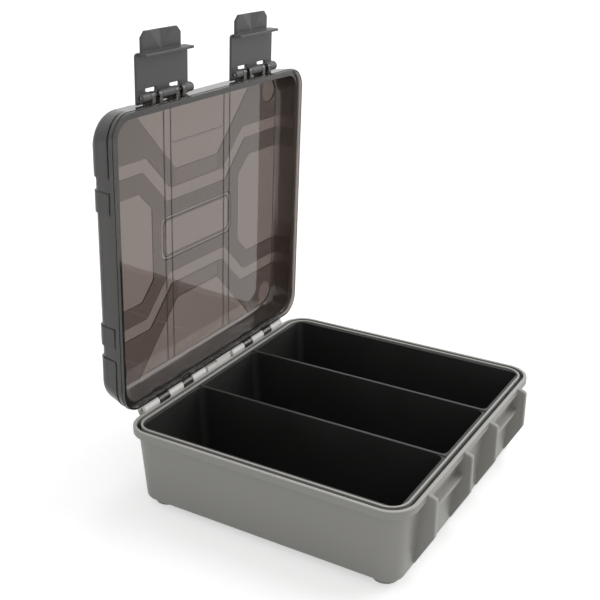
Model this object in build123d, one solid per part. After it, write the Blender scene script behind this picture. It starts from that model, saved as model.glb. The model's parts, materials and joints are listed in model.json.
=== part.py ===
from build123d import *
import math
import os

# The origin is on the ground under the middle of the box, the latches face -Y and the hinge is at +Y.
# Every plan size is measured from the sealing ridge, the thin raised line that runs round the base's rim.
ridge_width = 180.0
ridge_depth = 165.0
ridge_corner = 10.5
ridge_half_thickness = 0.6
ridge_top = 50.6

# Depth that joined shapes run into each other, and that cuts run past a face
overlap = 1.0

# Base shell: the wall's and the band's outsides are given as distances outside the ridge's middle
foot_height = 3.6
foot_radius = 8.0
foot_taper = 0.8
foot_inset = 12.2
wall_out = 1.9
wall_draft = 4.0
floor_thickness = 2.4
bottom_rounding = 3.0
band_out = 5.0
band_height = 5.0
band_rounding = 1.1
groove_out = 3.0
groove_depth = 3.2
seal_height = 1.6
seal_side_gap = 0.15
seal_roundness = 0.7

# Latch guards and catches on the front wall
bay_from_middle = 43.4
bay_width = 45.0
guard_thickness = 3.4
guard_out = 10.0
guard_top_drop = 2.5
guard_slope_start_drop = 0.7
guard_front_end_drop = 25.0
guard_foot_drop = 43.5
guard_rounding = 0.9
guard_corner = 2.2
catch_out = 5.2
catch_top_drop = 13.2
catch_front_drop = 14.3
catch_bottom_drop = 16.7

# Compartment tray
tray_gap = 0.3
tray_wall = 1.6
tray_floor = 1.6
tray_rim_drop = 0.8
divider_from_middle = 29.5
divider_thickness = 1.6
divider_drop = 0.3
divider_lean = 0.35
compartment_corner = 4.5
tray_rounding = 1.4

# Hinge
hinge_back = 6.6
hinge_rise = 1.2
knuckle_radius = 3.0
hinge_pin_radius = 1.1
hinge_group_start = 15.0
base_knuckle_length = 13.4
lid_knuckle_length = 9.9
knuckle_gap = 0.3
pin_recess = 0.8
running_gap = 0.05
gusset_drop = 8.5
gusset_nose = 1.5
lid_open_angle = 88.0

# Stop behind the rim that the open lid leans on
stop_half_width = 12.5
stop_low_end = -2.5
stop_low_drop = 1.8
stop_front = 2.0
stop_reach = 5.0
stop_low_reach = 3.0
stop_back_drop = 1.0
stop_foot_drop = 7.5
stop_rounding = 0.8
stop_gap = 0.4

# Lid
lid_rim_rise = 0.5
lid_out = 2.7
lid_in = 1.5
lid_height = 14.8
lid_panel_thickness = 1.6
lid_top_inset = 1.5
lid_top_corner = 19.0
lid_rounding = 5.0
lid_inner_rounding = 3.5
lid_inner_draft = 0.6
lid_inner_corner = 16.0
tongue_from_ridge = 1.8
tongue_half_thickness = 0.6
tongue_length = 1.9
lid_rib_thickness = 0.8
lid_rib_height = 0.35
lid_rib_from_divider = 3.1
cross_rib_from_middle = 56.3

# Raised pattern on the outside of the lid
relief_height = 0.8
relief_side = 0.5
relief_start_above_rim = 3.5
relief_rounding = 2.4
window_inner_x = 43.5
window_corner_x = 54.5
window_half_length = 32.6
window_corner_y = 21.8
band_outer_y = 51.8
band_width = 7.7
band_outer_x = 47.5
band_middle_x = 26.0
band_middle_y = 29.8
end_window_y = 40.2
end_window_half_width = 21.2
end_window_spread = 0.95
plate_length = 71.6
plate_width = 27.2
plate_corner = 5.0
plate_border = 3.2
plate_border_rise = 0.5
slot_length = 44.0
slot_width = 9.0
slot_from_middle = 35.0
slot_depth = 0.25
stack_gap = 0.4
stack_recess_depth = 0.6

# Latches
latch_width = 44.0
latch_pin_out = 6.4
latch_pin_rise = 3.0
latch_pin_radius = 0.9
drum_radius = 2.6
end_drum_length = 6.9
middle_drum_length = 11.0
ear_radius = 2.6
ear_leg_thickness = 2.7
ear_gap = 0.3
ear_root_rise = 1.5
ear_root_out = 1.6
plate_offset = 1.7
latch_thickness = 1.9
short_end = 3.8
notch_top = 4.0
flange_from_pin = 21.3
flange_thickness = 1.5
flange_reach = 5.5
flange_roundness = 0.3
flange_inset = 1.4
tab_length = 10.5
tab_width = 33.0
tab_set_back = 0.3
tab_thickness = 2.2
tab_chamfer = 3.2
scoop_width = 20.0
scoop_depth = 1.5
scoop_end = 1.5
latch_rounding = 0.8
latch_corner = 2.0
latch_swing = 90.0

# Places that follow from the sizes above
half_width = ridge_width / 2
half_depth = ridge_depth / 2
band_bottom = ridge_top - band_height
groove_floor = ridge_top - groove_depth
lip_middle = half_depth + (groove_out + band_out) / 2
floor_top = foot_height + floor_thickness
hinge_y = half_depth + hinge_back
hinge_z = ridge_top + hinge_rise
rim_z = ridge_top + lid_rim_rise
lid_top = hinge_z + lid_height
lid_ceiling = lid_top - lid_panel_thickness
latch_y = -half_depth - latch_pin_out
latch_z = hinge_z + latch_pin_rise
foot_place = (half_width - foot_inset, half_depth - foot_inset)
hinge_group_length = 3 * base_knuckle_length + 2 * lid_knuckle_length
sides = {"left": -1, "right": 1}


def outline(out, corner_out=None):
    """Plan outline of the box at a distance outside the ridge's centre line."""
    corner = ridge_corner + (out if corner_out is None else corner_out)
    return RectangleRounded(ridge_width + 2 * out, ridge_depth + 2 * out, corner)


def block(out, bottom, top, draft=0.0):
    """Solid on that outline between two heights; a positive draft narrows it upwards."""
    return extrude(Pos(0, 0, bottom) * outline(out), amount=top - bottom, taper=draft)


def ring(inner, outer, bottom, top):
    """Frame that follows the ridge between two distances outside its centre line."""
    return block(outer, bottom, top) - block(inner, bottom - overlap, top + overlap)


def corners(place):
    """The point (x, y) and its mirror images in the box's four corners."""
    return [(x * place[0], y * place[1]) for x in (-1, 1) for y in (-1, 1)]


def profile_along_x(points, start, end):
    """Solid with a side outline of (y, z) points that runs along X."""
    face = Plane.YZ * make_face(Polyline(*points, close=True))
    return extrude(Pos(start, 0, 0) * face, amount=end - start)


def rod_along_x(radius, y, z, start, end):
    """Round bar along X."""
    return Pos((start + end) / 2, y, z) * Rot(0, 90, 0) * Cylinder(radius, end - start)


def front(out, drop):
    """Point (y, z) of the front wall: a distance out from the ridge and a drop below its top."""
    return (-half_depth - out, ridge_top - drop)


def about_hinge(shape, angle):
    """Turns a shape round the lid's hinge, with a negative angle to open."""
    return shape.rotate(Axis((0, hinge_y, hinge_z), (1, 0, 0)), angle)


def hinge_spans(side):
    """X spans of one hinge group's five knuckles, from the box's middle outwards."""
    spans, start = [], hinge_group_start
    for index in range(5):
        length = base_knuckle_length if index % 2 == 0 else lid_knuckle_length
        spans.append(sorted((side * start, side * (start + length))))
        start += length
    return spans


def drum_spans(middle):
    """X spans of the three drums on a latch."""
    half = latch_width / 2
    return [
        (middle - half, middle - half + end_drum_length),
        (middle - middle_drum_length / 2, middle + middle_drum_length / 2),
        (middle + half - end_drum_length, middle + half),
    ]


def ear_spans(middle):
    """X spans of the two ear blocks, which fill the spaces between the drums."""
    left, centre, right = drum_spans(middle)
    return [(left[1] + ear_gap, centre[0] - ear_gap), (centre[1] + ear_gap, right[0] - ear_gap)]


def wall_body():
    """Outer walls with the floor and the thicker band round the rim, still filled."""
    top = band_bottom + overlap
    bottom_out = wall_out - (top - foot_height) * math.tan(math.radians(wall_draft))
    walls = block(bottom_out, foot_height, top, draft=-wall_draft)
    walls = fillet(walls.faces().sort_by(Axis.Z)[0].edges(), bottom_rounding)
    band = block(band_out, band_bottom, ridge_top)
    band = fillet(band.faces().sort_by(Axis.Z)[0].edges(), band_rounding)
    band = fillet(band.faces().sort_by(Axis.Z)[-1].edges(), band_rounding / 2)
    return walls + band


def cavity():
    """Space inside the walls, with the same draft as their outside."""
    depth = ridge_top - floor_top
    bottom_out = -ridge_half_thickness - depth * math.tan(math.radians(wall_draft))
    space = block(bottom_out, floor_top, ridge_top + overlap, draft=-wall_draft)
    return fillet(space.faces().sort_by(Axis.Z)[0].edges(), tray_rounding)


def guard(start):
    """Upright rib beside a latch: it starts at the rim, stands out in front and runs back to the floor."""
    points = [
        front(ridge_half_thickness, guard_slope_start_drop),
        front(band_out, guard_slope_start_drop),
        front(guard_out, guard_top_drop),
        front(guard_out, guard_front_end_drop),
        front(0, guard_foot_drop),
        front(-wall_out, guard_foot_drop),
    ]
    rib = profile_along_x(points, start, start + guard_thickness)
    top_corner = rib.edges().filter_by(Axis.X).group_by(Axis.Y)[0].sort_by(Axis.Z)[-1]
    rib = fillet(top_corner, guard_corner)
    front_edges = rib.edges().filter_by(Axis.Z).sort_by(Axis.Y)[:2]
    return fillet(front_edges, guard_rounding)


def catch(middle):
    """Ledge between two guards that the latch hooks under."""
    points = [
        front(0, catch_top_drop),
        front(catch_out, catch_front_drop),
        front(catch_out, catch_bottom_drop),
        front(0, catch_bottom_drop),
    ]
    half = bay_width / 2 + overlap
    return profile_along_x(points, middle - half, middle + half)


def latch_bays():
    """Both latch bays, each with two guards and a catch."""
    pieces = []
    for side in sides.values():
        middle = side * bay_from_middle
        pieces.append(guard(middle - bay_width / 2 - guard_thickness))
        pieces.append(guard(middle + bay_width / 2))
        pieces.append(catch(middle))
    return pieces


def foot(x, y):
    """Round foot under a corner."""
    upright = (Align.CENTER, Align.CENTER, Align.MIN)
    peg = Cone(foot_radius - foot_taper, foot_radius, foot_height + overlap, align=upright)
    peg = fillet(peg.faces().sort_by(Axis.Z)[0].edges(), foot_taper)
    return Pos(x, y, 0) * peg


def base_knuckle(start, end):
    """Hinge knuckle on the base with the gusset that carries it."""
    gusset = [
        (half_depth, ridge_top - gusset_drop),
        (lip_middle, ridge_top - band_rounding / 2),
        (hinge_y, hinge_z),
        (hinge_y + knuckle_radius, hinge_z),
        (hinge_y + knuckle_radius, hinge_z - gusset_nose),
        (half_depth + band_out, ridge_top - gusset_drop),
    ]
    knuckle = rod_along_x(knuckle_radius, hinge_y, hinge_z, start, end)
    return profile_along_x(gusset, start, end) + knuckle


def lid_stop():
    """Block behind the rim with a low shelf beside it; the open lid's back wall leans on the block."""
    top = hinge_z + hinge_back - lid_out - stop_gap
    slope = math.tan(math.radians(90 - lid_open_angle))

    def piece(drop, start, end, reach):
        points = [
            (half_depth, ridge_top - stop_foot_drop),
            (lip_middle, ridge_top - band_rounding / 2),
            (hinge_y - stop_front, top - drop),
            (hinge_y + reach, top - drop + (reach + stop_front) * slope),
            (hinge_y + reach, hinge_z - stop_back_drop),
        ]
        return profile_along_x(points, start, end)

    tall = piece(0, stop_low_end, stop_half_width, stop_reach)
    tall = fillet(tall.edges().filter_by(Axis.X).sort_by(Axis.Z)[-2:], stop_rounding)
    return tall + piece(stop_low_drop, -stop_half_width, stop_low_end, stop_low_reach)


def base_shell():
    """Grey base: walls, rim, latch bays, hinge knuckles, lid stop and feet in one moulding."""
    shell = wall_body()
    for piece in latch_bays():
        shell += piece
    for side in sides.values():
        for index, (start, end) in enumerate(hinge_spans(side)):
            if index % 2 == 0:
                shell += base_knuckle(start, end)
    for x, y in corners(foot_place):
        shell += foot(x, y)
    shell += lid_stop()
    shell -= cavity()
    shell -= ring(ridge_half_thickness, groove_out, groove_floor, ridge_top + overlap)
    for side in sides.values():
        spans = hinge_spans(side)
        for start, end in (spans[1], spans[3]):
            shell -= rod_along_x(
                knuckle_radius + knuckle_gap, hinge_y, hinge_z, start - knuckle_gap / 2, end + knuckle_gap / 2
            )
        first, *_, last = sorted(spans)
        shell -= rod_along_x(hinge_pin_radius, hinge_y, hinge_z, first[0] - overlap, last[1] + overlap)
    return shell


def tray_space(start, end):
    """One compartment's space, between two X positions at the rim, with drafted and rounded walls."""
    top, bottom = ridge_top + overlap, floor_top + tray_floor
    fall = (ridge_top - bottom) * math.tan(math.radians(wall_draft))
    inner = ridge_half_thickness + tray_gap + tray_wall
    depth = ridge_depth - 2 * inner
    lean = [fall if abs(x) > divider_from_middle + divider_thickness else divider_lean for x in (start, end)]
    floor_outline = RectangleRounded(end - start - sum(lean), depth - 2 * fall, compartment_corner)
    mouth_outline = RectangleRounded(end - start, depth, compartment_corner)
    floor = Pos((start + lean[0] + end - lean[1]) / 2, 0, bottom) * floor_outline
    space = loft([floor, Pos((start + end) / 2, 0, top) * mouth_outline], ruled=True)
    return fillet(space.faces().sort_by(Axis.Z)[0].edges(), tray_rounding)


def compartment_tray():
    """Black tray with two fixed dividers, dropped into the base."""
    out = -ridge_half_thickness - tray_gap
    top = ridge_top - tray_rim_drop
    fall = (top - floor_top) * math.tan(math.radians(wall_draft))
    tray = block(out - fall, floor_top, top, draft=-wall_draft)
    tray = fillet(tray.faces().sort_by(Axis.Z)[0].edges(), tray_rounding + tray_gap)
    inner = half_width - ridge_half_thickness - tray_gap - tray_wall
    half_divider = divider_thickness / 2
    crest = ridge_top - divider_drop
    inside_depth = ridge_depth - 2 * (ridge_half_thickness + tray_gap + tray_wall / 2)
    hanging = (Align.CENTER, Align.CENTER, Align.MAX)
    for side in sides.values():
        crown = Box(divider_thickness, inside_depth, crest - top + overlap, align=hanging)
        tray += Pos(side * divider_from_middle, 0, crest) * crown
    walls = [-inner, -divider_from_middle, divider_from_middle, inner]
    for left, right in zip(walls, walls[1:]):
        start = left if left == -inner else left + half_divider
        end = right if right == inner else right - half_divider
        tray -= tray_space(start, end)
    return tray


def lid_seal():
    """Rubber cord that lies in the rim's groove, with a rounded top."""
    middle = (ridge_half_thickness + groove_out) / 2
    half = (groove_out - ridge_half_thickness) / 2 - seal_side_gap
    cord = ring(middle - half, middle + half, groove_floor, groove_floor + seal_height)
    top_edges = cord.faces().sort_by(Axis.Z)[-1].edges()
    return fillet(top_edges, half * seal_roundness)


def lid_form(side_out, rise, bottom):
    """Outside form of the lid, tapering to larger corners at the top."""
    start = Pos(0, 0, bottom) * RectangleRounded(
        ridge_width + 2 * (lid_out + side_out), ridge_depth + 2 * lid_out, ridge_corner + lid_out
    )
    end_out = lid_out - lid_top_inset
    end = Pos(0, 0, lid_top + rise) * RectangleRounded(
        ridge_width + 2 * (end_out + side_out), ridge_depth + 2 * end_out, lid_top_corner
    )
    form = loft([start, end], ruled=True)
    return fillet(form.faces().sort_by(Axis.Z)[-1].edges(), lid_rounding)


def mirrored(points, flip_x, flip_y):
    """Points mirrored across the chosen middle lines of the lid."""
    return [(x * flip_x, y * flip_y) for x, y in points]


def rounded_polygon(points):
    """Closed outline with rounded corners."""
    face = make_face(Polyline(*points, close=True))
    return fillet(face.vertices(), relief_rounding)


def clear_areas():
    """The lid's lower, clearer areas: side windows, two bent bands and an end window at each end."""
    edge = half_width + 20
    band_inner_y = band_outer_y - band_width
    slope_shift = band_width * (math.sqrt(2) - 1)
    areas = []
    for flip in (-1, 1):
        window = [
            (edge, window_half_length),
            (window_corner_x, window_half_length),
            (window_inner_x, window_corner_y),
            (window_inner_x, -window_corner_y),
            (window_corner_x, -window_half_length),
            (edge, -window_half_length),
        ]
        areas.append(rounded_polygon(mirrored(window, flip, 1)))
        bent_band = [
            (edge, band_outer_y),
            (band_outer_x, band_outer_y),
            (band_middle_x, band_middle_y),
            (-band_middle_x, band_middle_y),
            (-band_outer_x, band_outer_y),
            (-edge, band_outer_y),
            (-edge, band_inner_y),
            (-band_outer_x - slope_shift, band_inner_y),
            (-band_middle_x - slope_shift, band_middle_y - band_width),
            (band_middle_x + slope_shift, band_middle_y - band_width),
            (band_outer_x + slope_shift, band_inner_y),
            (edge, band_inner_y),
        ]
        areas.append(rounded_polygon(mirrored(bent_band, 1, flip)))
        far = half_depth + 20
        spread = end_window_half_width + (far - end_window_y) * end_window_spread
        end_window = [
            (-end_window_half_width, end_window_y),
            (end_window_half_width, end_window_y),
            (spread, far),
            (-spread, far),
        ]
        areas.append(rounded_polygon(mirrored(end_window, 1, flip)))
    return areas


def lid_relief():
    """Raised bars and corners on the lid, which run down over its side walls."""
    pattern = Rectangle(ridge_width + 60, ridge_depth + 60)
    for area in clear_areas():
        pattern -= area
    pattern -= RectangleRounded(plate_length, plate_width, plate_corner)
    start = rim_z + relief_start_above_rim
    prism = extrude(Pos(0, 0, start) * pattern, amount=lid_top + relief_height + overlap - start)
    return lid_form(relief_side, relief_height, rim_z) & prism


def plate_frame():
    """Low border round the bare plate that is sunk between the bars in the lid's middle."""
    border = RectangleRounded(plate_length, plate_width, plate_corner) - RectangleRounded(
        plate_length - 2 * plate_border, plate_width - 2 * plate_border, plate_corner - plate_border / 2
    )
    bottom = lid_top - overlap
    return extrude(Pos(0, 0, bottom) * border, amount=overlap + plate_border_rise)


def lid_recesses():
    """Shallow slots in the two middle bars and round recesses that take another box's feet."""
    surface = lid_top + relief_height
    recess = Circle(foot_radius - foot_taper + stack_gap)
    cuts = []
    for y in (-slot_from_middle, slot_from_middle):
        slot = Pos(0, y, surface - slot_depth) * SlotOverall(slot_length, slot_width)
        cuts.append(extrude(slot, amount=slot_depth + overlap))
    for x, y in corners(foot_place):
        place = Pos(x, y, surface - stack_recess_depth)
        cuts.append(extrude(place * recess, amount=stack_recess_depth + overlap))
    return cuts


def lid_cavity():
    """Space inside the lid."""
    start = Pos(0, 0, rim_z - tongue_length - overlap) * outline(-lid_in)
    end_out = -lid_in - lid_inner_draft
    end = Pos(0, 0, lid_ceiling) * RectangleRounded(
        ridge_width + 2 * end_out, ridge_depth + 2 * end_out, lid_inner_corner
    )
    space = loft([start, end], ruled=True)
    return fillet(space.faces().sort_by(Axis.Z)[-1].edges(), lid_inner_rounding)


def lid_ribs():
    """Low ribs inside the lid, one on each side of a divider's place, and the rib that joins them."""
    length = ridge_depth - 2 * lid_in
    root = lid_panel_thickness / 2
    hanging = (Align.CENTER, Align.CENTER, Align.MAX)
    rib = Box(lid_rib_thickness, length, lid_rib_height + root, align=hanging)
    inner_x = divider_from_middle - lid_rib_from_divider
    outer_x = divider_from_middle + lid_rib_from_divider
    ribs = [Pos(x, 0, lid_ceiling + root) * rib for x in (-outer_x, -inner_x, inner_x, outer_x)]
    cross = Box(2 * inner_x, lid_rib_thickness, lid_rib_height + root, align=hanging)
    ribs.append(Pos(0, -cross_rib_from_middle, lid_ceiling + root) * cross)
    return ribs


def lid_knuckle(start, end):
    """Hinge knuckle on the lid with its short arm."""
    wall = half_depth + lid_out - overlap
    arm = [
        (wall, rim_z),
        (wall, hinge_z + knuckle_radius),
        (hinge_y, hinge_z + knuckle_radius),
        (hinge_y, rim_z),
    ]
    low, high = start + knuckle_gap / 2, end - knuckle_gap / 2
    knuckle = profile_along_x(arm, low, high) + rod_along_x(knuckle_radius, hinge_y, hinge_z, low, high)
    bore = rod_along_x(hinge_pin_radius + running_gap, hinge_y, hinge_z, low - overlap, high + overlap)
    return knuckle - bore


def ear_leg(start, end):
    """One leg of an ear block that holds the latch pin."""
    wall = -half_depth - lid_out + overlap
    root_top = latch_z + ear_radius + ear_root_rise
    leg = [
        (wall, latch_z - ear_radius),
        (wall, root_top),
        (wall - ear_root_out, root_top),
        (latch_y, latch_z + ear_radius),
        (latch_y, latch_z - ear_radius),
    ]
    solid = profile_along_x(leg, start, end) + rod_along_x(ear_radius, latch_y, latch_z, start, end)
    return solid - rod_along_x(latch_pin_radius, latch_y, latch_z, start - overlap, end + overlap)


def latch_ears():
    """Two ear blocks for each latch, each a pair of legs with a pocket between them."""
    legs = []
    for side in sides.values():
        for start, end in ear_spans(side * bay_from_middle):
            legs.append(ear_leg(start, start + ear_leg_thickness))
            legs.append(ear_leg(end - ear_leg_thickness, end))
    return legs


def closed_lid():
    """Lid in its closed place."""
    lid = lid_form(0, 0, rim_z) + lid_relief() + plate_frame()
    tongue_inside, tongue_outside = (tongue_from_ridge + way * tongue_half_thickness for way in (-1, 1))
    lid += ring(tongue_inside, tongue_outside, rim_z - tongue_length, rim_z + overlap)
    lid -= lid_cavity()
    for cut in lid_recesses():
        lid -= cut
    for rib in lid_ribs():
        lid += rib
    for side in sides.values():
        for index in (1, 3):
            lid += lid_knuckle(*hinge_spans(side)[index])
    for leg in latch_ears():
        lid += leg
    return lid


def latch_plate(middle):
    """Flat outer plate of a latch with its edges rounded and two notches round the ears."""
    outer = latch_y - plate_offset - latch_thickness
    length = short_end + flange_from_pin + flange_thickness
    plate = Box(latch_width, latch_thickness, length, align=(Align.CENTER, Align.MIN, Align.MAX))
    plate = Pos(middle, outer, latch_z + short_end) * plate
    plate = fillet(plate.edges().filter_by(Axis.Y).sort_by(Axis.Z)[:2], latch_corner)
    plate = fillet(plate.faces().sort_by(Axis.Y)[0].edges(), latch_rounding)
    upright = (Align.CENTER, Align.CENTER, Align.MIN)
    for start, end in ear_spans(middle):
        notch = Box(end - start + 2 * ear_gap, 3 * latch_thickness, 2 * notch_top + short_end, align=upright)
        plate -= Pos((start + end) / 2, outer, latch_z - notch_top) * notch
    return plate


def latch_flange(middle):
    """Hook across the latch that grips under the catch."""
    plate_middle = latch_y - plate_offset - latch_thickness / 2
    reach = flange_reach + latch_thickness / 2
    width = latch_width - 2 * flange_inset
    flange = Box(width, reach, flange_thickness, align=(Align.CENTER, Align.MIN, Align.MAX))
    flange = Pos(middle, plate_middle, latch_z - flange_from_pin) * flange
    tip_edges = flange.faces().sort_by(Axis.Y)[-1].edges().filter_by(Axis.X)
    return fillet(tip_edges, flange_thickness * flange_roundness)


def finger_tab(middle):
    """Tab below the hook with cut corners and a V-shaped scoop for the fingertip."""
    top = latch_z - flange_from_pin
    inner = latch_y - plate_offset - tab_set_back
    length = tab_length + flange_thickness
    tab = Box(tab_width, tab_thickness, length, align=(Align.CENTER, Align.MAX, Align.MAX))
    tab = Pos(middle, inner, top) * tab
    tab = chamfer(tab.edges().filter_by(Axis.Y).sort_by(Axis.Z)[:2], tab_chamfer)
    tab = fillet(tab.faces().sort_by(Axis.Y)[0].edges(), latch_rounding)

    def scoop_outline(share, z):
        half, depth = scoop_width / 2 * share, scoop_depth * share
        points = [(-half, overlap), (-half, 0), (0, -depth), (half, 0), (half, overlap)]
        return Pos(middle, inner, z) * make_face(Polyline(*points, close=True))

    tip = top - length
    return tab - loft([scoop_outline(1, tip), scoop_outline(0.1, top - scoop_end)], ruled=True)


def closed_latch(side):
    """Latch in its closed place, hanging in front of the catch."""
    middle = side * bay_from_middle
    latch = latch_plate(middle) + latch_flange(middle) + finger_tab(middle)
    outward = (Align.MIN, Align.MAX, Align.CENTER)
    for start, end in drum_spans(middle):
        latch += rod_along_x(drum_radius, latch_y, latch_z, start, end)
        pad = Box(end - start, plate_offset + latch_thickness / 2, 2 * drum_radius, align=outward)
        latch += Pos(start, latch_y, latch_z) * pad
    half = latch_width / 2 + overlap
    return latch - rod_along_x(latch_pin_radius + running_gap, latch_y, latch_z, middle - half, middle + half)


def latch_pin(side):
    """Steel pin through a latch's drums, held in the lid's ears."""
    middle, half = side * bay_from_middle, latch_width / 2 - pin_recess
    return rod_along_x(latch_pin_radius, latch_y, latch_z, middle - half, middle + half)


def hinge_pin(side):
    """Steel pin held in the base's knuckles; the lid's knuckles turn on it."""
    start = hinge_group_start + pin_recess
    end = hinge_group_start + hinge_group_length - pin_recess
    return rod_along_x(hinge_pin_radius, hinge_y, hinge_z, *sorted((side * start, side * end)))


def open_latch(shape):
    """Swings a latch part up from its closed place."""
    return shape.rotate(Axis((0, latch_y, latch_z), (1, 0, 0)), -latch_swing)


def all_parts():
    """Every piece in the photographed pose: lid open on its stop, latches in line with it."""
    parts = {
        "base_shell": base_shell(),
        "compartment_tray": compartment_tray(),
        "lid_seal": lid_seal(),
        "lid": about_hinge(closed_lid(), -lid_open_angle),
    }
    for name, side in sides.items():
        parts[f"hinge_pin_{name}"] = hinge_pin(side)
        parts[f"latch_pin_{name}"] = about_hinge(latch_pin(side), -lid_open_angle)
        parts[f"latch_{name}"] = about_hinge(open_latch(closed_latch(side)), -lid_open_angle)
    return parts


os.makedirs("parts", exist_ok=True)
for node, shape in all_parts().items():
    export_step(shape, f"parts/{node}.step")
    print(node, round(shape.volume), "mm3")
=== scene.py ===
"""Looks of a tackle accessory box: a grey base, a black tray, a smoked lid and two latches.

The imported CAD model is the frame. The base, the tray and the latches keep their CAD shapes and
get their finishes here. The seal and the wire pins follow a path or repeat, so Geometry Nodes
build them anew. The lid is a copy of the CAD lid with a thin raised line round its bare plate.
"""

import json
import logging
import math
from dataclasses import dataclass
from enum import Enum

import bmesh
import bpy
from mathutils import Matrix, Vector


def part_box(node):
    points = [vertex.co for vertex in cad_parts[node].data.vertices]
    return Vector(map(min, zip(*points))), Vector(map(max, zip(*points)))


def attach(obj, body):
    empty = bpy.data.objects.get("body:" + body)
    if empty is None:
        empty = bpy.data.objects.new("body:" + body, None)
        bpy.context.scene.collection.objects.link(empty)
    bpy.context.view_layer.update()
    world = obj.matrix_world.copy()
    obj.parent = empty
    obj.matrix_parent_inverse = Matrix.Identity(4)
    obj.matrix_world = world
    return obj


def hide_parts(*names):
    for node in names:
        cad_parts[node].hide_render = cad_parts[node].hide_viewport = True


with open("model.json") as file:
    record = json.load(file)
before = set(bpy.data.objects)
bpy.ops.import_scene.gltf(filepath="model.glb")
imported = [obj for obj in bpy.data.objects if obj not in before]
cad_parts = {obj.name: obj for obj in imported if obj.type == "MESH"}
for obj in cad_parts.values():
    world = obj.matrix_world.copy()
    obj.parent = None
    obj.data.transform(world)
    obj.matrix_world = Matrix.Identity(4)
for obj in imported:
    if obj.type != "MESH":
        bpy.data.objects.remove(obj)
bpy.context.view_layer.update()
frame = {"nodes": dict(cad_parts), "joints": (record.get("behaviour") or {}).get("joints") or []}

# Short names for the types that the functions take and give
Tree = bpy.types.NodeTree
Node = bpy.types.Node
Socket = bpy.types.NodeSocket
Object = bpy.types.Object
Inputs = dict[str | int, object]

# One millimetre in metres
MM = 0.001
# The photograph's side in pixels, and the camera's sensor that stands for it
IMAGE_SIDE = 600
SENSOR_MM = 36.0
# An edge that turns further than this is shaded as a sharp one
SHARP_DEG = 35.0
# Cosines between a face and its rounded-off edge, where the edges' paling from wear and a
# painted highlight starts and where it is full
EDGE_WEAR_AND_HIGHLIGHT_FROM, EDGE_WEAR_AND_HIGHLIGHT_FULL = 0.995, 0.8
# The range that nearly all of a noise texture's values are in
NOISE_LOW, NOISE_HIGH = 0.3, 0.7
# How far a corner of the lid's mesh may be off the plate's outline, in metres
PLATE_REACH = 0.00004
# Corners of the lid's mesh that are nearer to each other than this are one, in metres
MERGE_DISTANCE = 0.000001
# The mesh layer that carries the CAD lid's own normals through the changes
CAD_NORMAL = "cad_normal"
# The Mix node's sockets for two colours and for two numbers, and its results
COLOUR_A, COLOUR_B, COLOUR_MIX = 6, 7, 2
NUMBER_A, NUMBER_B, NUMBER_MIX = 2, 3, 0

log = logging.getLogger("accessory_box")


def linear(colour: str) -> tuple[float, float, float, float]:
    """Turns an sRGB colour to the linear one that Blender works in.

    Args:
        colour: Six hex digits, such as "9F9E98".

    Returns:
        Linear red, green and blue with an alpha of 1.
    """
    shares = [int(colour[start:start + 2], 16) / 255 for start in (0, 2, 4)]
    curve = [s / 12.92 if s <= 0.04045 else ((s + 0.055) / 1.055) ** 2.4 for s in shares]
    return curve[0], curve[1], curve[2], 1.0


def per_metre(spacing_mm: float) -> float:
    """Gives the texture scale whose features are this far apart in millimetres."""
    return 1 / (spacing_mm * MM)


def add_node(tree: Tree, kind: str, inputs: Inputs | None = None, **settings: object) -> Node:
    """Adds a node with its settings, its values and its links.

    Args:
        tree: The shader or geometry tree that gets the node.
        kind: Blender's type name of the node.
        inputs: A value, or the output socket that feeds it, for each input by name or number.
        **settings: Properties of the node itself.

    Returns:
        The new node.
    """
    node = tree.nodes.new(kind)
    for name, value in settings.items():
        setattr(node, name, value)
    for name, value in (inputs or {}).items():
        if isinstance(value, Socket):
            tree.links.new(value, node.inputs[name])
        else:
            node.inputs[name].default_value = value
    return node


def add_object(name: str, data: bpy.types.ID) -> Object:
    """Makes an object and puts it in the scene, at the origin.

    Args:
        name: The object's name.
        data: Its mesh, lamp or camera.

    Returns:
        The new object.
    """
    made = bpy.data.objects.new(name, data)
    bpy.context.scene.collection.objects.link(made)
    return made


class MouldGrain(Enum):
    """What the mould's own surface leaves on the plastic: spacing and height in millimetres.

    Each is drawn a few times coarser than the real grain, which is too fine to show.
    """

    SPARK_ERODED = (0.9, 0.022)
    FINE_MATT = (0.7, 0.02)
    SATIN = (1.2, 0.01)


class Finish:
    """A finish that can make its Blender material and put it on pieces."""

    name: str

    def shade(self, tree: Tree, place: Socket) -> Inputs:
        """Draws the finish.

        Args:
            tree: The material's node tree.
            place: Object coordinates.

        Returns:
            The inputs of the Principled shader by name.
        """
        raise NotImplementedError

    def fill(self, tree: Tree, output: Node) -> None:
        """Adds what light meets inside the material, which is nothing in an opaque one."""

    def material(self) -> bpy.types.Material:
        """Makes the material, or finds it if an earlier piece had it made.

        Returns:
            The finish's one material.
        """
        found = bpy.data.materials.get(self.name)
        if found:
            return found
        made = bpy.data.materials.new(self.name)
        made.use_nodes = True
        tree = made.node_tree
        tree.nodes.clear()
        place = add_node(tree, "ShaderNodeTexCoord").outputs["Object"]
        shader = add_node(tree, "ShaderNodeBsdfPrincipled", self.shade(tree, place))
        output = add_node(tree, "ShaderNodeOutputMaterial", {"Surface": shader.outputs[0]})
        self.fill(tree, output)
        return made

    def put_on(self, node: str) -> Object:
        """Puts the material on every slot of a CAD node.

        Args:
            node: The CAD node's name.

        Returns:
            The CAD node's object.
        """
        piece = frame["nodes"][node]
        for holder in piece.material_slots:
            holder.material = self.material()
        return piece


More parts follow.
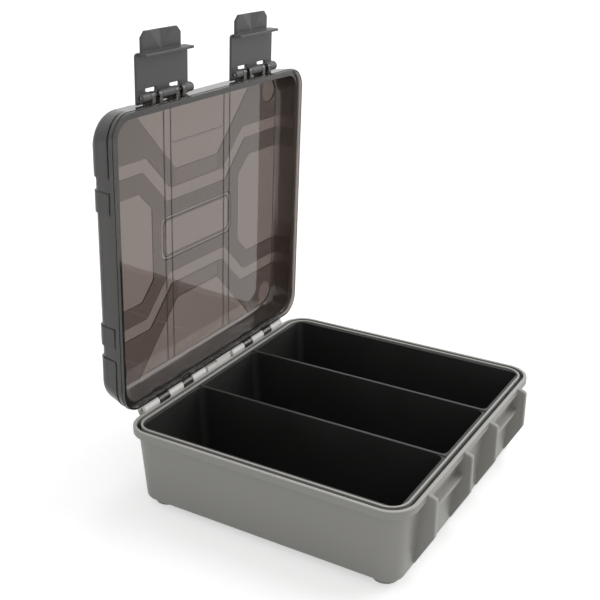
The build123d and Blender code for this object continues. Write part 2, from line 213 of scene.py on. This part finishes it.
@dataclass(frozen=True)
class MouldedPlastic(Finish):
    """Opaque injection-moulded plastic: satin, a little cloudy; edges paler from wear and painted
    highlight.

    Small parts that stand up above a given height can be paler, from a painted highlight on them.
    """

    name: str
    colour: str
    cloud_colour: str
    edge_wear_and_highlight_colour: str
    roughness: float
    ior: float
    grain: MouldGrain
    cloud_mm: float = 38.0
    edge_mm: float = 0.5
    edge_wear_and_highlight_share: float = 0.5
    edge_samples: int = 4
    roughness_spread: float = 0.05
    # A painted highlight on what stands above a height: its colour, the height and the blend in mm
    painted_highlight_colour: str = ""
    painted_highlight_above_mm: float = 0.0
    painted_highlight_blend_mm: float = 1.5

    def shade(self, tree: Tree, place: Socket) -> Inputs:
        """Draws clouded pigment, edges paled by wear and a painted highlight, a painted highlight
        on high parts where one is set, and the mould's grain.

        Args:
            tree: The material's node tree.
            place: Object coordinates.

        Returns:
            The inputs of the Principled shader by name.
        """
        cloud = add_node(tree, "ShaderNodeTexNoise", {
            "Vector": place, "Scale": per_metre(self.cloud_mm), "Detail": 4.0, "Roughness": 0.55,
        }).outputs["Fac"]
        soft = add_node(
            tree, "ShaderNodeBevel", {"Radius": self.edge_mm * MM}, samples=self.edge_samples,
        ).outputs[0]
        pigment = add_node(tree, "ShaderNodeMix", {
            "Factor": cloud, COLOUR_A: linear(self.colour), COLOUR_B: linear(self.cloud_colour),
        }, data_type="RGBA").outputs[COLOUR_MIX]
        # Edges paled by wear and a painted highlight
        colour = self.pale_edges_wear_and_highlight(tree, pigment, soft)
        # Painted highlight on the hinge knuckles and the stop
        if self.painted_highlight_colour:
            colour = self.paint_highlight_above(tree, colour, place)
        rough = add_node(tree, "ShaderNodeMapRange", {
            "Value": cloud, "From Min": NOISE_LOW, "From Max": NOISE_HIGH,
            "To Min": self.roughness - self.roughness_spread,
            "To Max": self.roughness + self.roughness_spread,
        }).outputs[0]
        spacing, height = self.grain.value
        grain = add_node(tree, "ShaderNodeTexNoise", {
            "Vector": place, "Scale": per_metre(spacing), "Detail": 2.0, "Roughness": 0.6,
        }).outputs["Fac"]
        bump = add_node(tree, "ShaderNodeBump", {
            "Strength": 1.0, "Distance": height * MM, "Height": grain, "Normal": soft,
        }).outputs[0]
        return {"Base Color": colour, "Roughness": rough, "IOR": self.ior, "Normal": bump}

    def pale_edges_wear_and_highlight(self, tree: Tree, colour: Socket, soft: Socket) -> Socket:
        """Makes the edges paler, partly as wear and partly as a painted highlight.

        Args:
            tree: The material's node tree.
            colour: The colour so far.
            soft: The surface's direction with its edges rounded off.

        Returns:
            The colour with its pale edges.
        """
        face = add_node(tree, "ShaderNodeNewGeometry").outputs["Normal"]
        turn = add_node(
            tree, "ShaderNodeVectorMath", {0: soft, 1: face}, operation="DOT_PRODUCT",
        ).outputs["Value"]
        edge = add_node(tree, "ShaderNodeMapRange", {
            "Value": turn, "From Min": EDGE_WEAR_AND_HIGHLIGHT_FROM, "From Max": EDGE_WEAR_AND_HIGHLIGHT_FULL,
            "To Max": self.edge_wear_and_highlight_share,
        }).outputs[0]
        # Wear and a painted highlight: the pale edge colour is mixed in along the edges
        return add_node(tree, "ShaderNodeMix", {
            "Factor": edge, COLOUR_A: colour, COLOUR_B: linear(self.edge_wear_and_highlight_colour),
        }, data_type="RGBA").outputs[COLOUR_MIX]

    def paint_highlight_above(self, tree: Tree, colour: Socket, place: Socket) -> Socket:
        """Paints a highlight on what stands above the given height, which makes it paler.

        Args:
            tree: The material's node tree.
            colour: The colour so far.
            place: Object coordinates.

        Returns:
            The colour, with the painted highlight making the top paler.
        """
        height = add_node(tree, "ShaderNodeSeparateXYZ", {0: place}).outputs["Z"]
        thin = add_node(tree, "ShaderNodeMapRange", {
            "Value": height, "From Min": self.painted_highlight_above_mm * MM,
            "From Max": (self.painted_highlight_above_mm + self.painted_highlight_blend_mm) * MM,
        }).outputs[0]
        # The painted highlight: the pale colour is mixed in above the height
        return add_node(tree, "ShaderNodeMix", {
            "Factor": thin, COLOUR_A: colour, COLOUR_B: linear(self.painted_highlight_colour),
        }, data_type="RGBA").outputs[COLOUR_MIX]


@dataclass(frozen=True)
class SmokedPlastic(Finish):
    """Smoke-tinted, see-through plastic from a polished mould: glossy, with a ripple and smudges.

    Most of the tint is in the depth of the material, so a thicker place is darker. A little of the
    light is scattered by the pigment, which keeps thick edges dark grey instead of black.
    """

    name: str
    tint: str
    absorption_per_mm: float
    haze_colour: str
    clear_share: float
    roughness: float
    ior: float
    ripple_mm: float = 16.0
    ripple_height_mm: float = 0.03
    smudge_mm: float = 22.0
    smudge_from: float = 0.4
    smudge_full: float = 0.75
    smudge_factor: float = 3.0

    def shade(self, tree: Tree, place: Socket) -> Inputs:
        """Draws a clear surface with the ripple of the melt and faint smudges.

        Args:
            tree: The material's node tree.
            place: Object coordinates.

        Returns:
            The inputs of the Principled shader by name.
        """
        ripple = add_node(tree, "ShaderNodeTexNoise", {
            "Vector": place, "Scale": per_metre(self.ripple_mm), "Detail": 1.0,
        }).outputs["Fac"]
        smudge = add_node(tree, "ShaderNodeTexNoise", {
            "Vector": place, "Scale": per_metre(self.smudge_mm), "Detail": 5.0, "Roughness": 0.6,
        }).outputs["Fac"]
        rough = add_node(tree, "ShaderNodeMapRange", {
            "Value": smudge, "From Min": self.smudge_from, "From Max": self.smudge_full,
            "To Min": self.roughness, "To Max": self.smudge_factor * self.roughness,
        }).outputs[0]
        bump = add_node(tree, "ShaderNodeBump", {
            "Strength": 1.0, "Distance": self.ripple_height_mm * MM, "Height": ripple,
        }).outputs[0]
        return {
            "Base Color": linear(self.haze_colour), "Roughness": rough, "IOR": self.ior,
            "Transmission Weight": self.clear_share, "Normal": bump,
        }

    def fill(self, tree: Tree, output: Node) -> None:
        """Fills the plastic with its smoke tint.

        Args:
            tree: The material's node tree.
            output: The material's output node.
        """
        smoke = add_node(tree, "ShaderNodeVolumeAbsorption", {
            "Color": linear(self.tint), "Density": self.absorption_per_mm / MM,
        })
        tree.links.new(smoke.outputs[0], output.inputs["Volume"])


@dataclass(frozen=True)
class MouldedRubber(Finish):
    """Soft black rubber with the dull bloom that a new seal has."""

    name: str
    colour: str
    bloom_colour: str
    roughness: float
    ior: float
    bloom_mm: float = 6.0
    grain_mm: float = 0.6
    grain_height_mm: float = 0.02

    def shade(self, tree: Tree, place: Socket) -> Inputs:
        """Draws black rubber under a patchy grey bloom.

        Args:
            tree: The material's node tree.
            place: Object coordinates.

        Returns:
            The inputs of the Principled shader by name.
        """
        bloom = add_node(tree, "ShaderNodeTexNoise", {
            "Vector": place, "Scale": per_metre(self.bloom_mm), "Detail": 4.0,
        }).outputs["Fac"]
        colour = add_node(tree, "ShaderNodeMix", {
            "Factor": bloom, COLOUR_A: linear(self.colour), COLOUR_B: linear(self.bloom_colour),
        }, data_type="RGBA").outputs[COLOUR_MIX]
        grain = add_node(tree, "ShaderNodeTexNoise", {
            "Vector": place, "Scale": per_metre(self.grain_mm), "Detail": 1.0,
        }).outputs["Fac"]
        bump = add_node(tree, "ShaderNodeBump", {
            "Strength": 1.0, "Distance": self.grain_height_mm * MM, "Height": grain,
        }).outputs[0]
        return {
            "Base Color": colour, "Roughness": self.roughness, "IOR": self.ior, "Normal": bump,
        }


@dataclass(frozen=True)
class DrawnSteel(Finish):
    """Bright drawn steel wire: fine lines along its length, a little dulled."""

    name: str
    colour: str
    dull_colour: str
    roughness: float
    roughness_spread: float = 0.1
    line_mm: float = 0.25
    line_length_mm: float = 6.0

    def shade(self, tree: Tree, place: Socket) -> Inputs:
        """Draws the die's lines along X.

        Args:
            tree: The material's node tree.
            place: Object coordinates.

        Returns:
            The inputs of the Principled shader by name.
        """
        stretched = add_node(tree, "ShaderNodeMapping", {
            "Vector": place, "Scale": (self.line_mm / self.line_length_mm, 1.0, 1.0),
        }).outputs[0]
        lines = add_node(tree, "ShaderNodeTexNoise", {
            "Vector": stretched, "Scale": per_metre(self.line_mm), "Detail": 2.0,
        }).outputs["Fac"]
        colour = add_node(tree, "ShaderNodeMix", {
            "Factor": lines, COLOUR_A: linear(self.dull_colour), COLOUR_B: linear(self.colour),
        }, data_type="RGBA").outputs[COLOUR_MIX]
        rough = add_node(tree, "ShaderNodeMapRange", {
            "Value": lines, "To Min": self.roughness + self.roughness_spread,
            "To Max": self.roughness - self.roughness_spread,
        }).outputs[0]
        return {"Base Color": colour, "Metallic": 1.0, "Roughness": rough}


# Polypropylene from a spark-eroded mould: an even satin grey whose edges catch the light, shown
# as edges paled by wear and a painted highlight. Its hinge knuckles and the lid's stop are all that
# stands above the rim, and a painted highlight makes them paler.
GREY_POLYPROPYLENE = MouldedPlastic(
    name="polypropylene_spark_eroded_grey", colour="9A9994", cloud_colour="A1A09B",
    edge_wear_and_highlight_colour="B0AFAA", roughness=0.48, ior=1.49, grain=MouldGrain.SPARK_ERODED,
    painted_highlight_colour="EFEEEB", painted_highlight_above_mm=50.2,
)
# ABS from a fine matt mould: deep black, so the tray reads as shadow with a faint sheen
BLACK_ABS = MouldedPlastic(
    name="abs_fine_matt_black", colour="232322", cloud_colour="282827", edge_wear_and_highlight_colour="4A4A49",
    roughness=0.46, ior=1.53, grain=MouldGrain.FINE_MATT,
)
# Acetal, moulded satin: the dark grey of a springy, hard-wearing latch
DARK_ACETAL = MouldedPlastic(
    name="acetal_satin_dark_grey", colour="414140", cloud_colour="464646", edge_wear_and_highlight_colour="5E5E5D",
    roughness=0.38, ior=1.48, grain=MouldGrain.SATIN,
)
# Clear ABS, tinted through and moulded against polished steel: glossy, brown-grey and see-through
SMOKED_ABS = SmokedPlastic(
    name="clear_abs_polished_smoke", tint="98867E", absorption_per_mm=1.22, haze_colour="E6E0DA",
    clear_share=0.96, roughness=0.012, ior=1.54,
)
# Moulded rubber cord: dull black
SEAL_RUBBER = MouldedRubber(
    name="rubber_moulded_black", colour="161616", bloom_colour="1F1F1E", roughness=0.7, ior=1.52,
)
# Drawn steel wire: the only metal, seen at the pin ends
PIN_STEEL = DrawnSteel(
    name="steel_drawn_wire", colour="B9B8B4", dull_colour="8D8C88", roughness=0.32,
)


def new_tree(name: str, inputs: dict[str, str]) -> tuple[Tree, Node]:
    """Starts a geometry tree with named inputs and a geometry output.

    Args:
        name: The tree's name.
        inputs: Blender's socket type for each input's name.

    Returns:
        The tree and its Group Input node.
    """
    tree = bpy.data.node_groups.new(name, "GeometryNodeTree")
    tree.interface.new_socket("Geometry", in_out="OUTPUT", socket_type="NodeSocketGeometry")
    for label, kind in inputs.items():
        tree.interface.new_socket(label, in_out="INPUT", socket_type=kind)
    return tree, tree.nodes.new("NodeGroupInput")


def end_tree(tree: Tree, shape: Socket, material: Socket) -> None:
    """Ends a geometry tree in real, smooth-shaded geometry with its material.

    Args:
        tree: The geometry tree.
        shape: The finished geometry.
        material: The material that it gets.
    """
    real = add_node(tree, "GeometryNodeRealizeInstances", {"Geometry": shape}).outputs[0]
    smooth = add_node(tree, "GeometryNodeSetShadeSmooth", {"Geometry": real}).outputs[0]
    dressed = add_node(tree, "GeometryNodeSetMaterial", {"Geometry": smooth, "Material": material})
    add_node(tree, "NodeGroupOutput", {"Geometry": dressed.outputs[0]})


def keep_mesh(tree: Tree, values: dict[str, object], name: str) -> Object:
    """Runs a geometry tree once and keeps its result as a plain mesh.

    Args:
        tree: The tree, with named inputs.
        values: A value for each named input.
        name: The new piece's name.

    Returns:
        An object at the origin that has the mesh and no modifier.
    """
    holder = add_object(name, bpy.data.meshes.new(name + "_seed"))
    modifier = holder.modifiers.new("shape", "NODES")
    modifier.node_group = tree
    sockets = {
        item.name: item.identifier for item in tree.interface.items_tree if item.in_out == "INPUT"
    }
    for label, value in values.items():
        modifier[sockets[label]] = value
    graph = bpy.context.evaluated_depsgraph_get()
    mesh = bpy.data.meshes.new_from_object(holder.evaluated_get(graph), depsgraph=graph)
    mesh.name = name
    mesh.set_sharp_from_angle(angle=math.radians(SHARP_DEG))
    holder.modifiers.clear()
    holder.data = mesh
    return holder


@dataclass
class LidSeal:
    """The rubber cord in the rim's groove, in the CAD ring's place. Sizes in millimetres."""

    cord_width: float = 2.1
    middle_corner: float = 12.3
    corner_points: int = 14
    section_points: int = 20

    def tree(self) -> Tree:
        """Builds the tree that sweeps a round section, scaled to the cord's, round the groove.

        Returns:
            The geometry tree.
        """
        tree, given = new_tree("seal_cord", {
            "Width": "NodeSocketFloat", "Depth": "NodeSocketFloat", "Corner": "NodeSocketFloat",
            "Corner Points": "NodeSocketInt", "Section Points": "NodeSocketInt",
            "Section": "NodeSocketVector", "Place": "NodeSocketVector",
            "Material": "NodeSocketMaterial",
        })
        path = add_node(tree, "GeometryNodeCurvePrimitiveQuadrilateral", {
            "Width": given.outputs["Width"], "Height": given.outputs["Depth"],
        }).outputs[0]
        rounded = add_node(tree, "GeometryNodeFilletCurve", {
            "Curve": path, "Radius": given.outputs["Corner"],
            "Count": given.outputs["Corner Points"], "Limit Radius": True,
        }, mode="POLY").outputs[0]
        # A circle one metre across, which is then scaled to the cord's width and height
        circle = add_node(tree, "GeometryNodeCurvePrimitiveCircle", {
            "Resolution": given.outputs["Section Points"], "Radius": 0.5,
        }).outputs[0]
        section = add_node(tree, "GeometryNodeTransform", {
            "Geometry": circle, "Scale": given.outputs["Section"],
        }).outputs[0]
        cord = add_node(tree, "GeometryNodeCurveToMesh", {
            "Curve": rounded, "Profile Curve": section,
        }).outputs[0]
        placed = add_node(tree, "GeometryNodeTransform", {
            "Geometry": cord, "Translation": given.outputs["Place"],
        }).outputs[0]
        end_tree(tree, placed, given.outputs["Material"])
        return tree

    def build(self) -> Object:
        """Makes the cord and lets it stand for the CAD ring.

        Returns:
            The cord.
        """
        low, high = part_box("lid_seal")
        size = high - low
        seal = keep_mesh(self.tree(), {
            "Width": size.x - self.cord_width * MM, "Depth": size.y - self.cord_width * MM,
            "Corner": self.middle_corner * MM, "Corner Points": self.corner_points,
            "Section Points": self.section_points,
            "Section": (self.cord_width * MM, size.z, 1.0),
            "Place": (low + high) / 2, "Material": SEAL_RUBBER.material(),
        }, "seal_cord")
        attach(seal, "base")
        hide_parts("lid_seal")
        return seal


@dataclass
class PinPair:
    """Two cut lengths of steel wire on one line, with chamfered ends. Sizes in millimetres.

    The wire is drawn a hair thinner than the bore it sits tight in, so that no two faces of the
    model lie in one place.
    """

    name: str
    body: str
    nodes: tuple[str, str]
    bore: float
    slack: float = 0.04
    chamfer: float = 0.3
    round_points: int = 28

    def tree(self) -> Tree:
        """Builds the tree that turns one pin and sets it at both places.

        The pin's line has four points: its two ends and, further in, the chamfers' feet. Counted
        from the line's middle, an end is one and a half steps away and a foot half a step.

        Returns:
            The geometry tree.
        """
        tree, given = new_tree(self.name + "_shape", {
            "End": "NodeSocketFloat", "Chamfer Foot": "NodeSocketFloat",
            "End Radius": "NodeSocketFloat", "Radius": "NodeSocketFloat",
            "Round Points": "NodeSocketInt", "First": "NodeSocketVector",
            "Step": "NodeSocketVector", "Material": "NodeSocketMaterial",
        })
        count = 4
        middle = (count - 1) / 2
        points = add_node(tree, "GeometryNodeMeshLine", {"Count": count}).outputs[0]
        index = add_node(tree, "GeometryNodeInputIndex").outputs[0]
        from_middle = add_node(
            tree, "ShaderNodeMath", {0: index, 1: middle}, operation="SUBTRACT",
        ).outputs[0]
        side = add_node(tree, "ShaderNodeMath", {0: from_middle}, operation="SIGN").outputs[0]
        steps = add_node(tree, "ShaderNodeMath", {0: from_middle}, operation="ABSOLUTE").outputs[0]
        is_end = add_node(
            tree, "ShaderNodeMath", {0: steps, 1: middle - 0.5}, operation="GREATER_THAN",
        ).outputs[0]
        reach = add_node(tree, "ShaderNodeMix", {
            "Factor": is_end, NUMBER_A: given.outputs["Chamfer Foot"],
            NUMBER_B: given.outputs["End"],
        }, data_type="FLOAT").outputs[NUMBER_MIX]
        radius = add_node(tree, "ShaderNodeMix", {
            "Factor": is_end, NUMBER_A: given.outputs["Radius"],
            NUMBER_B: given.outputs["End Radius"],
        }, data_type="FLOAT").outputs[NUMBER_MIX]
        along = add_node(
            tree, "ShaderNodeMath", {0: side, 1: reach}, operation="MULTIPLY",
        ).outputs[0]
        place = add_node(tree, "ShaderNodeCombineXYZ", {"X": along}).outputs[0]
        spread = add_node(tree, "GeometryNodeSetPosition", {
            "Geometry": points, "Position": place,
        }).outputs[0]
        axis = add_node(tree, "GeometryNodeMeshToCurve", {"Mesh": spread}).outputs[0]
        # A circle of radius 1, which each point of the line scales to its own radius
        circle = add_node(tree, "GeometryNodeCurvePrimitiveCircle", {
            "Resolution": given.outputs["Round Points"], "Radius": 1.0,
        }).outputs[0]
        pin = add_node(tree, "GeometryNodeCurveToMesh", {
            "Curve": axis, "Profile Curve": circle, "Scale": radius, "Fill Caps": True,
        }).outputs[0]
        places = add_node(tree, "GeometryNodeMeshLine", {
            "Count": 2, "Start Location": given.outputs["First"], "Offset": given.outputs["Step"],
        }).outputs[0]
        both = add_node(tree, "GeometryNodeInstanceOnPoints", {
            "Points": places, "Instance": pin,
        }).outputs[0]
        end_tree(tree, both, given.outputs["Material"])
        return tree

    def build(self) -> Object:
        """Makes both pins where the CAD pins are and lets them stand for those.

        Returns:
            The piece with both pins.
        """
        boxes = [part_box(node) for node in self.nodes]
        first, second = ((low + high) / 2 for low, high in boxes)
        low, high = boxes[0]
        half = (high.x - low.x) / 2
        radius = (self.bore - self.slack) / 2 * MM
        chamfer = self.chamfer * MM
        pins = keep_mesh(self.tree(), {
            "End": half, "Chamfer Foot": half - chamfer, "End Radius": radius - chamfer,
            "Radius": radius, "Round Points": self.round_points, "First": first,
            "Step": second - first, "Material": PIN_STEEL.material(),
        }, self.name)
        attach(pins, self.body)
        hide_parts(*self.nodes)
        return pins


@dataclass
class BaseAssembly:
    """The grey base with its rim seal and hinge pins, and the black tray that sits in it."""

    seal: LidSeal
    pins: PinPair

    def build(self) -> list[Object]:
        """Dresses the base and the tray, and builds the seal and the pins.

        Returns:
            All four pieces.
        """
        return [
            GREY_POLYPROPYLENE.put_on("base_shell"),
            BLACK_ABS.put_on("compartment_tray"),
            self.seal.build(),
            self.pins.build(),
        ]


@dataclass(frozen=True)
class RoundedOutline:
    """A rectangle with rounded corners round the plate's middle. Sizes in millimetres."""

    length: float
    width: float
    corner: float

    def inset(self, distance: float, corner: float) -> "RoundedOutline":
        """Gives the outline that lies this far inside, with its own corner radius."""
        return RoundedOutline(self.length - 2 * distance, self.width - 2 * distance, corner)

    def nearest_core(self, place: Vector) -> Vector:
        """Finds the nearest point of the rectangle whose corners are the corner arcs' centres.

        Args:
            place: A place in metres.

        Returns:
            That point in metres, at the place's own height.
        """
        half_x = (self.length / 2 - self.corner) * MM
        half_y = (self.width / 2 - self.corner) * MM
        x = max(-half_x, min(half_x, place.x))
        y = max(-half_y, min(half_y, place.y))
        return Vector((x, y, place.z))

    def carries(self, place: Vector, height: float) -> bool:
        """Tells whether a place in metres is on the outline at that height in millimetres."""
        off_line = abs((place - self.nearest_core(place)).length - self.corner * MM)
        return off_line < PLATE_REACH and abs(place.z - height * MM) < PLATE_REACH


@dataclass
class ClearLid:
    """The smoked lid, whose bare plate has a thin raised line set in from its edge.

    The CAD lid has a flat border there, as wide as the line and the clear strip outside it
    together. Sizes are in millimetres. A rise is measured from the lid's clear fields, which are
    as high as top on the closed box.
    """

    plate: RoundedOutline = RoundedOutline(length=71.6, width=27.2, corner=5.0)
    border: float = 3.2
    border_corner: float = 3.4
    border_rise: float = 0.5
    strip_rise: float = 0.05
    line_width: float = 0.8
    line_rise: float = 0.8
    line_slope: float = 0.15
    top: float = 66.6

    def to_plate(self) -> Matrix:
        """Works out the way from the open lid to the plate's own axes, with Z out of its face.

        Returns:
            The matrix that closes the lid and brings its clear fields to height 0.
        """
        joint = next(joint for joint in frame["joints"] if joint["name"] == "lid_hinge")
        hinge = Matrix.Translation(joint["pos_m"])
        closed = math.radians(joint["range_deg"][1])
        turn = Matrix.Rotation(closed, 4, Vector(joint["axis"]))
        return Matrix.Translation((0, 0, -self.top * MM)) @ hinge @ turn @ hinge.inverted()

    def merged_copy(self, source: Object) -> bmesh.types.BMesh:
        """Copies the CAD lid's mesh to the plate's axes and joins its loose triangles.

        Args:
            source: The CAD lid.

        Returns:
            The copy, with the CAD lid's own normals in a layer.
        """
        shape = bmesh.new()
        shape.from_mesh(source.data)
        kept = shape.loops.layers.float_vector.new(CAD_NORMAL)
        turned = source.matrix_world.to_3x3()
        corners = (corner for face in shape.faces for corner in face.loops)
        for corner, normal in zip(corners, source.data.corner_normals):
            corner[kept] = turned @ normal.vector
        shape.transform(self.to_plate() @ source.matrix_world)
        bmesh.ops.remove_doubles(shape, verts=shape.verts, dist=MERGE_DISTANCE)
        return shape

    def draw_line(self, shape: bmesh.types.BMesh) -> None:
        """Lowers the border round the plate and leaves a thin line along its inner edge.

        Args:
            shape: The lid's mesh on the plate's axes.
        """
        inside = self.plate.inset(self.border, self.border_corner)
        outer = [v for v in shape.verts if self.plate.carries(v.co, self.border_rise)]
        inner = [v for v in shape.verts if inside.carries(v.co, self.border_rise)]
        border = {*outer, *inner}
        flat = [face for face in shape.faces if border.issuperset(face.verts)]
        bmesh.ops.delete(shape, geom=flat, context="FACES")
        rims = [edge for edge in shape.edges if edge.is_boundary]
        outer_rim = [edge for edge in rims if edge.verts[0] in outer]
        inner_rim = [edge for edge in rims if edge.verts[0] in inner]
        for v in outer:
            v.co.z = self.strip_rise * MM
        top, foot = {}, {}
        for v in inner:
            away = (v.co - inside.nearest_core(v.co)).normalized()
            v.co.z = self.line_rise * MM
            top[v] = shape.verts.new(v.co + away * self.line_width * MM)
            foot[v] = shape.verts.new(v.co + away * (self.line_width + self.line_slope) * MM)
            foot[v].co.z = self.strip_rise * MM
        foot_rim = []
        for start, end in (edge.verts for edge in inner_rim):
            shape.faces.new((start, end, top[end], top[start]))
            shape.faces.new((top[start], top[end], foot[end], foot[start]))
            foot_rim.append(shape.edges.get((foot[end], foot[start])))
        bmesh.ops.triangle_fill(shape, edges=outer_rim + foot_rim, use_beauty=True)
        bmesh.ops.recalc_face_normals(shape, faces=shape.faces)

    def finished_mesh(self, shape: bmesh.types.BMesh) -> bpy.types.Mesh:
        """Turns the shape to a mesh with the CAD lid's normals and the smoked plastic.

        Args:
            shape: The lid's mesh in its place on the open box. It is freed here.

        Returns:
            The mesh.
        """
        mesh = bpy.data.meshes.new("smoked_lid")
        shape.to_mesh(mesh)
        shape.free()
        mesh.shade_smooth()
        mesh.set_sharp_from_angle(angle=math.radians(SHARP_DEG))
        normals = [corner.vector.copy() for corner in mesh.attributes[CAD_NORMAL].data]
        mesh.attributes.remove(mesh.attributes[CAD_NORMAL])
        mesh.normals_split_custom_set(normals)
        mesh.materials.append(SMOKED_ABS.material())
        for polygon in mesh.polygons:
            polygon.material_index = 0
        return mesh

    def build(self) -> Object:
        """Makes the lid from a copy of the CAD lid's mesh and lets it stand for that.

        Returns:
            The lid.
        """
        shape = self.merged_copy(frame["nodes"]["lid"])
        self.draw_line(shape)
        shape.transform(self.to_plate().inverted())
        lid = add_object("smoked_lid", self.finished_mesh(shape))
        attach(lid, "lid_body")
        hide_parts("lid")
        return lid


@dataclass
class LidAssembly:
    """The smoked lid with the pins that its latches turn on."""

    lid: ClearLid
    pins: PinPair

    def build(self) -> list[Object]:
        """Builds the lid and its pins."""
        return [self.lid.build(), self.pins.build()]


@dataclass
class LatchPair:
    """The two dark latches that swing on the lid's front edge."""

    nodes: tuple[str, str] = ("latch_left", "latch_right")

    def build(self) -> list[Object]:
        """Dresses both latches."""
        return [DARK_ACETAL.put_on(node) for node in self.nodes]


def direction(azimuth: float, elevation: float) -> Vector:
    """Gives the direction from the box to a camera or lamp.

    Args:
        azimuth: Degrees round the box, from straight in front towards its right.
        elevation: Degrees above the floor.

    Returns:
        A vector one metre long.
    """
    turn, lift = math.radians(azimuth), math.radians(elevation)
    flat = math.cos(lift)
    return Vector((math.sin(turn) * flat, -math.cos(turn) * flat, math.sin(lift)))


@dataclass(frozen=True)
class StudioCamera:
    """The photograph's viewpoint. Places are in metres and angles in degrees."""

    place: tuple[float, float, float] = (-0.47306, -0.25005, 0.32879)
    azimuth: float = -59.59
    elevation: float = 21.82
    roll: float = 0.254
    focal_px: float = 1006.975
    centre_drop_px: float = 3.26

    def build(self) -> Object:
        """Makes the camera and gives the scene to it.

        Returns:
            The camera.
        """
        back = direction(self.azimuth, self.elevation)
        right = Vector((0, 0, 1)).cross(back).normalized()
        up = back.cross(right)
        cos_roll, sin_roll = math.cos(math.radians(self.roll)), math.sin(math.radians(self.roll))
        axes = Matrix((right * cos_roll + up * sin_roll, up * cos_roll - right * sin_roll, back))
        data = bpy.data.cameras.new("studio_camera")
        data.sensor_width = SENSOR_MM
        data.lens = SENSOR_MM * self.focal_px / IMAGE_SIDE
        data.shift_y = -self.centre_drop_px / IMAGE_SIDE
        camera = add_object("studio_camera", data)
        camera.matrix_world = Matrix.Translation(self.place) @ axes.transposed().to_4x4()
        bpy.context.scene.camera = camera
        return camera


@dataclass(frozen=True)
class SoftLamp:
    """A broad lamp so far off that it lights the whole floor alike. Angles in degrees.

    Its light is a share of what makes a white surface that faces it look white.
    """

    name: str
    azimuth: float
    elevation: float
    light: float
    breadth: float

    def build(self) -> Object:
        """Makes the lamp.

        Returns:
            The lamp.
        """
        data = bpy.data.lights.new(self.name, "SUN")
        data.energy = self.light * math.pi
        data.angle = math.radians(self.breadth)
        lamp = add_object(self.name, data)
        towards = direction(self.azimuth, self.elevation)
        lamp.matrix_world = towards.to_track_quat("Z", "Y").to_matrix().to_4x4()
        return lamp


@dataclass
class Studio:
    """A white floor under a pale sky, two broad lamps and the camera."""

    camera: StudioCamera
    top_lamp: SoftLamp = SoftLamp(
        "softbox_top", azimuth=80.0, elevation=62.0, light=0.26, breadth=40.0,
    )
    front_lamp: SoftLamp = SoftLamp(
        "softbox_front", azimuth=50.0, elevation=28.0, light=0.27, breadth=40.0,
    )
    white: str = "FFFFFF"
    floor_side: float = 24.0
    floor_albedo: str = "E7E7E7"
    floor_glow: float = 0.53
    sky_light: float = 0.5

    def seen_share(self, tree: Tree) -> Socket:
        """Tells what is looked at from what only lights the scene.

        Args:
            tree: The floor's or the sky's node tree.

        Returns:
            1 where the camera, a reflection or a see-through piece looks, and 0 for lighting.
        """
        rays = add_node(tree, "ShaderNodeLightPath")
        seen = add_node(tree, "ShaderNodeMath", {
            0: rays.outputs["Is Camera Ray"], 1: rays.outputs["Is Glossy Ray"],
        }, operation="MAXIMUM").outputs[0]
        return add_node(tree, "ShaderNodeMath", {
            0: seen, 1: rays.outputs["Is Transmission Ray"],
        }, operation="MAXIMUM").outputs[0]

    def build_world(self) -> None:
        """Makes a sky that looks white and lights the scene more softly."""
        world = bpy.data.worlds.new("studio_sky")
        world.use_nodes = True
        tree = world.node_tree
        tree.nodes.clear()
        strength = add_node(tree, "ShaderNodeMapRange", {
            "Value": self.seen_share(tree), "To Min": self.sky_light, "To Max": 1.0,
        }).outputs[0]
        sky = add_node(tree, "ShaderNodeBackground", {
            "Color": linear(self.white), "Strength": strength,
        }).outputs[0]
        add_node(tree, "ShaderNodeOutputWorld", {"Surface": sky})
        bpy.context.scene.world = world

    def floor_material(self) -> bpy.types.Material:
        """Makes matt paper that looks white where nothing shades it.

        Returns:
            The floor's material.
        """
        material = bpy.data.materials.new("paper_matt_white")
        material.use_nodes = True
        tree = material.node_tree
        tree.nodes.clear()
        paper = add_node(tree, "ShaderNodeBsdfDiffuse", {
            "Color": linear(self.floor_albedo),
        }).outputs[0]
        strength = add_node(tree, "ShaderNodeMath", {
            0: self.seen_share(tree), 1: self.floor_glow,
        }, operation="MULTIPLY").outputs[0]
        glow = add_node(tree, "ShaderNodeEmission", {
            "Color": linear(self.white), "Strength": strength,
        }).outputs[0]
        both = add_node(tree, "ShaderNodeAddShader", {0: paper, 1: glow}).outputs[0]
        add_node(tree, "ShaderNodeOutputMaterial", {"Surface": both})
        return material

    def build_floor(self) -> Object:
        """Makes the floor, which keeps the box's soft shadow.

        Returns:
            The floor.
        """
        half = self.floor_side / 2
        corners = [(-half, -half, 0), (half, -half, 0), (half, half, 0), (-half, half, 0)]
        mesh = bpy.data.meshes.new("studio_floor")
        mesh.from_pydata(corners, [], [(0, 1, 2, 3)])
        mesh.materials.append(self.floor_material())
        floor = add_object("studio_floor", mesh)
        return floor

    def build(self) -> list[Object]:
        """Sets up the whole studio.

        Returns:
            The floor, the lamps and the camera.
        """
        self.build_world()
        bpy.context.scene.view_settings.view_transform = "Standard"
        parts = (self.top_lamp, self.front_lamp, self.camera)
        return [self.build_floor(), *(part.build() for part in parts)]


def main() -> None:
    """Builds the box and its studio and reports every piece."""
    logging.basicConfig(level=logging.INFO, format="%(name)s: %(message)s")
    hinge_pins = PinPair(
        "hinge_pins", "base", ("hinge_pin_left", "hinge_pin_right"), bore=2.2,
    )
    latch_pins = PinPair(
        "latch_pins", "lid_body", ("latch_pin_left", "latch_pin_right"), bore=1.8,
    )
    groups = (
        BaseAssembly(LidSeal(), hinge_pins),
        LidAssembly(ClearLid(), latch_pins),
        LatchPair(),
        Studio(StudioCamera()),
    )
    for group in groups:
        for piece in group.build():
            log.info("%s: %s is ready", type(group).__name__, piece.name)


if __name__ == "__main__":
    main()
